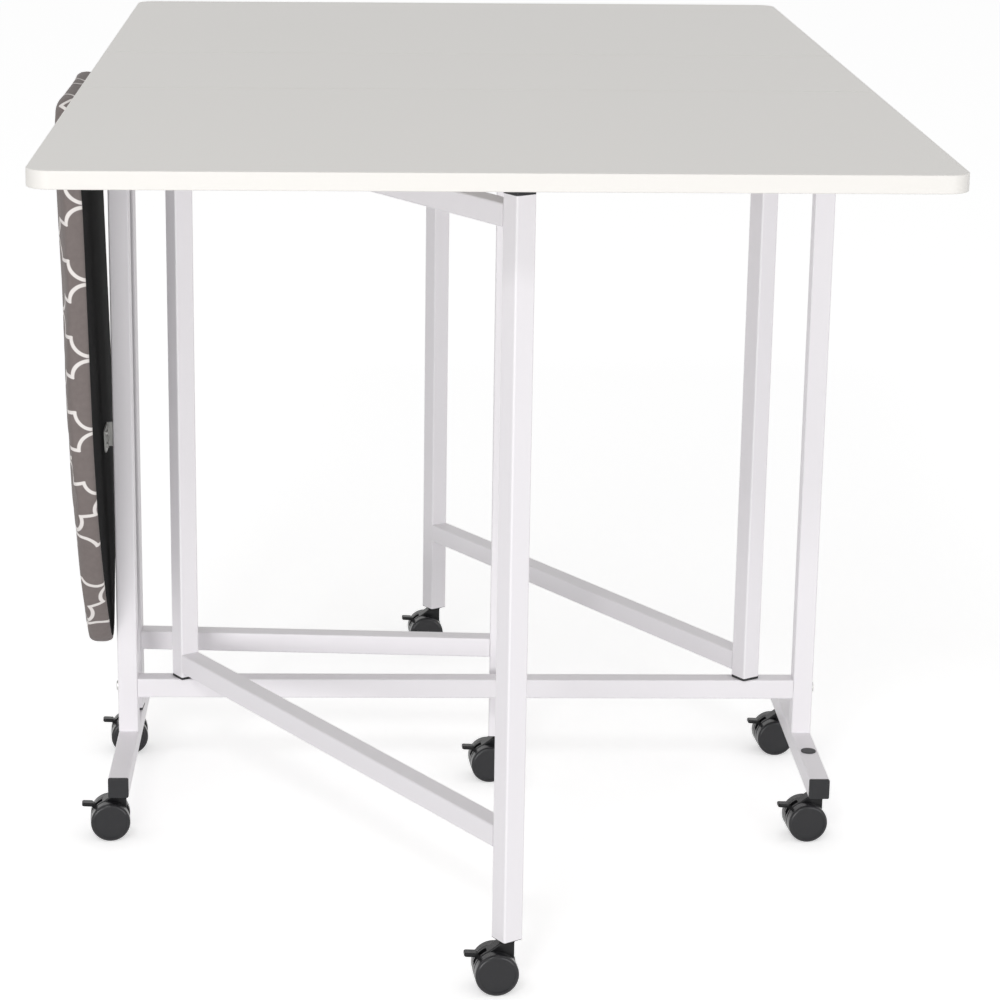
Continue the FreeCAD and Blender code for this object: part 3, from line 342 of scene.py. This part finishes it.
def outline_path():
    """Points of the board's outline with their outward directions, in order round it."""
    nose_at = BOARD_END + BOARD_LENGTH - BOARD_NOSE
    run = nose_at - BOARD_STRAIGHT
    flank = (run ** 2 + BOARD_HALF ** 2 - BOARD_NOSE ** 2) / (2 * (BOARD_HALF - BOARD_NOSE))
    meet = math.atan2(flank - BOARD_HALF, run)
    corner_x = BOARD_END + BOARD_CORNER
    corner_y = BOARD_HALF - BOARD_CORNER
    quarter = math.pi / 2
    points = []

    def arc(cx, cy, radius, start, stop, count):
        for i in range(count):
            angle = start + (stop - start) * i / count
            out = Vector((math.cos(angle), math.sin(angle)))
            points.append((Vector((cx, cy)) + out * radius, out))

    def line(a, b, out, count):
        for i in range(count):
            points.append((Vector(a).lerp(Vector(b), i / count), Vector(out)))

    arc(corner_x, corner_y, BOARD_CORNER, 2 * quarter, quarter, CORNER_POINTS)
    line((corner_x, BOARD_HALF), (BOARD_STRAIGHT, BOARD_HALF), (0, 1), SIDE_POINTS)
    arc(BOARD_STRAIGHT, BOARD_HALF - flank, flank, quarter, meet, FLANK_POINTS)
    arc(nose_at, 0, BOARD_NOSE, meet, -meet, NOSE_POINTS)
    arc(BOARD_STRAIGHT, flank - BOARD_HALF, flank, -meet, -quarter, FLANK_POINTS)
    line((BOARD_STRAIGHT, -BOARD_HALF), (corner_x, -BOARD_HALF), (0, -1), SIDE_POINTS)
    arc(corner_x, -corner_y, BOARD_CORNER, -quarter, -2 * quarter, CORNER_POINTS)
    line((BOARD_END, -corner_y), (BOARD_END, corner_y), (-1, 0), END_POINTS)
    return points


def clamp(share):
    return min(1.0, max(0.0, share))


def ease(value, start, stop):
    share = clamp((value - start) / (stop - start))
    return share * share * (3 - 2 * share)


def cover_section(x, y):
    """(inset, height) of the cover at a point of the board, from under the hem to the top."""
    bead = BEAD * ease(x, *BEAD_STARTS) * (1 - ease(x, *BEAD_FADES)) * ease(y, *BEAD_SIDE)
    rings = [(inset, DECK_UNDER + height - share * bead) for inset, height, share in HEM_RINGS]
    thick = BOARD_THICK - SWELL
    for more, start, stop in FULLER:
        thick += more * ease(x, start, stop)
    top = DECK_UNDER + thick
    roll_in = ROLL_IN - NOSE_ROLL_LESS * ease(x, *NOSE_ROLL)
    for i in range(ROLL_STEPS):
        angle = math.radians(90 * i / ROLL_STEPS)
        inset = ROLL_INSET + roll_in * (1 - math.cos(angle))
        rings.append((inset, top - ROLL_DROP - ROLL_UP * (1 - math.sin(angle))))
    rings += [(roll_in + inset, top - drop) for inset, drop in CROWN_RINGS]
    return rings


def arc_lengths(section):
    """Distance of each ring outside the outline once the cover is laid flat from its crown."""
    reach = -section[-1][0]
    lengths = [reach]
    for inner, outer in zip(section[::-1], section[-2::-1]):
        reach += math.dist(inner, outer)
        lengths.append(reach)
    return lengths[::-1]


def on_print(x, y):
    """Where a point of the laid-out cover falls on the print.

    The print lies a little askew, is drawn in where the flank turns and is stretched at both
    ends.
    """
    skew = SKEW * math.tanh((ROW_Y - y) / SKEW_SPAN)
    drawn = FLANK_DRAWN * ease(x, *FLANK_DRAWN_FROM) * (1 - ease(x, *FLANK_DRAWN_TO))
    drawn -= NOSE_DRAWN * ease(x, *NOSE_DRAWN_FROM)
    stretch = 1 + HINGE_STRETCH * (1 - ease(x, *HINGE_STRETCH_TO))
    stretch += NOSE_STRETCH * ease(x, *NOSE_STRETCH_FROM)
    return x + skew - NECK_X, (y - ROW_Y + drawn) / stretch


def cover_rings(mesh, where):
    """Rings of points from the hem up to the crown, joined by quads. Gives the crown's ring.

    Each point's place on the laid-out cover goes into where.
    """
    path = outline_path()
    sections = [cover_section(*point) for point, out in path]
    laid_out = [arc_lengths(section) for section in sections]
    top = DECK_UNDER + BOARD_THICK
    rings = []
    for level in range(len(sections[0])):
        ring = []
        for i, (point, out) in enumerate(path):
            inset, height = sections[i][level]
            side = clamp((top - height) / BOARD_THICK)
            nose = clamp((point.x - GATHER_FROM) / GATHER_SPAN)
            gather = GATHER * nose * side ** 2 * (math.sin(i * GATHER_PITCH) - 1)
            pos = point - out * (inset - gather)
            vert = mesh.verts.new((pos.x, pos.y, height))
            where[vert] = point + out * laid_out[i][level]
            ring.append(vert)
        rings.append(ring)
    count = len(path)
    for low, high in zip(rings, rings[1:]):
        for i in range(count):
            j = (i + 1) % count
            mesh.faces.new((low[i], high[i], high[j], low[j]))
    return rings[-1]


def cover_top(mesh, where, crown):
    """The top inside the crown's ring, filled with triangles of about one size."""
    count = len(crown)
    edge_spots = [vert.co.xy for vert in crown]
    flat_points = list(edge_spots)
    for row in TOP_ROWS:
        for column in TOP_COLUMNS:
            spot = Vector((column * TOP_STEP + 0.5 * TOP_STEP * (row % 2), row * TOP_STEP))
            if min((spot - edge).length for edge in edge_spots) >= TOP_EDGE_SHARE * TOP_STEP:
                flat_points.append(spot)
    loop_edges = [(i, (i + 1) % count) for i in range(count)]
    filled = geometry.delaunay_2d_cdt(flat_points, loop_edges, [], 1, SAME_SPOT)
    spots, faces = filled[0], filled[2]
    top_verts = list(crown)
    for spot in spots[count:]:
        vert = mesh.verts.new((spot.x, spot.y, cover_section(*spot)[-1][1] + CROWN_RISE))
        where[vert] = spot
        top_verts.append(vert)
    for face in faces:
        mesh.faces.new([top_verts[i] for i in face])
    loose = [vert for vert in mesh.verts if not vert.link_faces]
    bmesh.ops.delete(mesh, geom=loose, context="VERTS")


def cover_mesh():
    """The cover as cut: rings from the hem up to the crown, and a triangulated top."""
    mesh = bmesh.new()
    flat = mesh.loops.layers.uv.new("flat")
    where = {}
    cover_top(mesh, where, cover_rings(mesh, where))
    bmesh.ops.recalc_face_normals(mesh, faces=mesh.faces[:])
    for face in mesh.faces:
        face.smooth = True
        for loop in face.loops:
            loop[flat].uv = on_print(*where[loop.vert])
    data = bpy.data.meshes.new("board_cover")
    mesh.to_mesh(data)
    mesh.free()
    return data


def swell(cover):
    """Foam pressing the cover out, its hem held by the deck: cloth under pressure, applied."""
    data = cover.data
    held = cover.vertex_groups.new(name="held")
    for vert in data.vertices:
        low = 1 - (vert.co.z - DECK_UNDER) / DECK_THICK
        if low > 0:
            held.add([vert.index], min(1.0, 2 * low), "REPLACE")
    cloth = cover.modifiers.new("swell", "CLOTH")
    cloth.settings.vertex_group_mass = "held"
    for name, value in SWELL_CLOTH.items():
        setattr(cloth.settings, name, value)
    cloth.settings.effector_weights.gravity = 0
    cloth.point_cache.frame_start = 1
    cloth.point_cache.frame_end = SWELL_FRAMES
    scene = bpy.context.scene
    for step in range(1, SWELL_FRAMES + 1):
        scene.frame_set(step)
    settled = cover.evaluated_get(bpy.context.evaluated_depsgraph_get()).data
    moved = [vert.co.copy() for vert in settled.vertices]
    cover.modifiers.clear()
    cover.vertex_groups.clear()
    scene.frame_set(1)
    for vert, place in zip(data.vertices, moved):
        shift = place - vert.co
        reach = shift.length
        if reach > STILL:
            vert.co += shift * (SWELL_CAP * math.tanh(reach / SWELL_CAP) / reach)
    data.update()


def build_cover():
    data = cover_mesh()
    cover = bpy.data.objects.new("board_cover", data)
    bpy.context.scene.collection.objects.link(cover)
    swell(cover)
    data.transform(board_matrix())
    data.materials.append(materials["printed_cover"])
    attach(cover, "ironing_board")
    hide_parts("board_pad")


build_cover()


# Stage: a white floor that keeps a faint shadow, soft light from both front sides.

FLOOR_SIZE = 80
FLOOR_COLOUR = (0.9, 0.9, 0.9, 1)
FLOOR_GLOW = 0.475
SKY_COLOUR = (1, 1, 1, 1)
SKY_LEVEL = 0.545
SKY_SEEN_LEVEL = 1.0

# Place, aim, size and watts of each lamp.
LAMPS = {
    "left_box": ((-6.2, -15.2, 1.8), (0, 0, 0.5), (8.0, 3.4), 812),
    "right_box": ((9.4, -14.2, 1.8), (0, 0, 0.5), (8.0, 3.4), 560),
    "high_box": ((-0.9, -4.0, 3.4), (0, 0, 0.3), (0.9, 0.5), 30),
}

# The photograph's camera, fitted to the frame and the top. The focal length is in pixels.
CAMERA_PLACE = (MID_X - 0.125994, -3.555751, 1.391120)
CAMERA_YAW = 0.018618
CAMERA_PITCH = 0.280626
CAMERA_ROLL = 0.008437
FOCAL_LENGTH = 2950.57
IMAGE_WIDTH = 1000
SENSOR_WIDTH = 36.0
SHIFT_X = 0.07975
SHIFT_Y = 0.01732
CLIP_END = 200


def seen_rays(tree):
    """One for rays that show the background itself, straight or in a reflection."""
    path = tree.nodes.new("ShaderNodeLightPath")
    rays = math_node(tree, "MAXIMUM", path.outputs["Is Camera Ray"], path.outputs["Is Glossy Ray"])
    return math_node(tree, "MAXIMUM", rays, path.outputs["Is Transmission Ray"])


def floor():
    bpy.ops.mesh.primitive_plane_add(size=FLOOR_SIZE, location=(0, 0, 0))
    plane = bpy.context.object
    plane.name = "floor"
    mat = bpy.data.materials.new("floor")
    mat.use_nodes = True
    tree = mat.node_tree
    tree.nodes.remove(tree.nodes["Principled BSDF"])
    out = tree.nodes["Material Output"]
    lit = tree.nodes.new("ShaderNodeBsdfDiffuse")
    lit.inputs["Color"].default_value = FLOOR_COLOUR
    glow = tree.nodes.new("ShaderNodeEmission")
    strength = math_node(tree, "MULTIPLY", seen_rays(tree), FLOOR_GLOW)
    tree.links.new(strength, glow.inputs["Strength"])
    both = tree.nodes.new("ShaderNodeAddShader")
    tree.links.new(lit.outputs[0], both.inputs[0])
    tree.links.new(glow.outputs[0], both.inputs[1])
    tree.links.new(both.outputs[0], out.inputs["Surface"])
    plane.data.materials.append(mat)


def area_light(name, place, aim, size, watts):
    lamp = bpy.data.lights.new(name, "AREA")
    lamp.shape = "RECTANGLE"
    lamp.size, lamp.size_y = size
    lamp.energy = watts
    obj = bpy.data.objects.new(name, lamp)
    bpy.context.scene.collection.objects.link(obj)
    obj.location = place
    obj.rotation_euler = (Vector(aim) - Vector(place)).to_track_quat("-Z", "Y").to_euler()


def sky():
    """Even light from all round, white where it is seen."""
    world = bpy.data.worlds.new("studio")
    bpy.context.scene.world = world
    world.use_nodes = True
    tree = world.node_tree
    back = tree.nodes["Background"]
    back.inputs["Color"].default_value = SKY_COLOUR
    level = tree.nodes.new("ShaderNodeMapRange")
    level.inputs["To Min"].default_value = SKY_LEVEL
    level.inputs["To Max"].default_value = SKY_SEEN_LEVEL
    tree.links.new(seen_rays(tree), level.inputs["Value"])
    tree.links.new(level.outputs["Result"], back.inputs["Strength"])


def camera():
    sideways, forwards = math.sin(CAMERA_YAW), math.cos(CAMERA_YAW)
    level = math.cos(CAMERA_PITCH)
    ahead = Vector((sideways * level, forwards * level, -math.sin(CAMERA_PITCH)))
    right = Vector((forwards, -sideways, 0))
    up = right.cross(ahead)
    across = right * math.cos(CAMERA_ROLL) + up * math.sin(CAMERA_ROLL)
    upright = up * math.cos(CAMERA_ROLL) - right * math.sin(CAMERA_ROLL)
    data = bpy.data.cameras.new("camera")
    data.sensor_width = SENSOR_WIDTH
    data.lens = FOCAL_LENGTH / IMAGE_WIDTH * SENSOR_WIDTH
    data.shift_x = SHIFT_X
    data.shift_y = SHIFT_Y
    data.clip_end = CLIP_END
    obj = bpy.data.objects.new("camera", data)
    bpy.context.scene.collection.objects.link(obj)
    turn = Matrix((across, upright, -ahead)).transposed().to_4x4()
    obj.matrix_world = Matrix.Translation(CAMERA_PLACE) @ turn
    bpy.context.scene.camera = obj


floor()
for name, lamp in LAMPS.items():
    area_light(name, *lamp)
sky()
camera()
bpy.context.scene.view_settings.view_transform = "Standard"

bpy.context.view_layer.update()
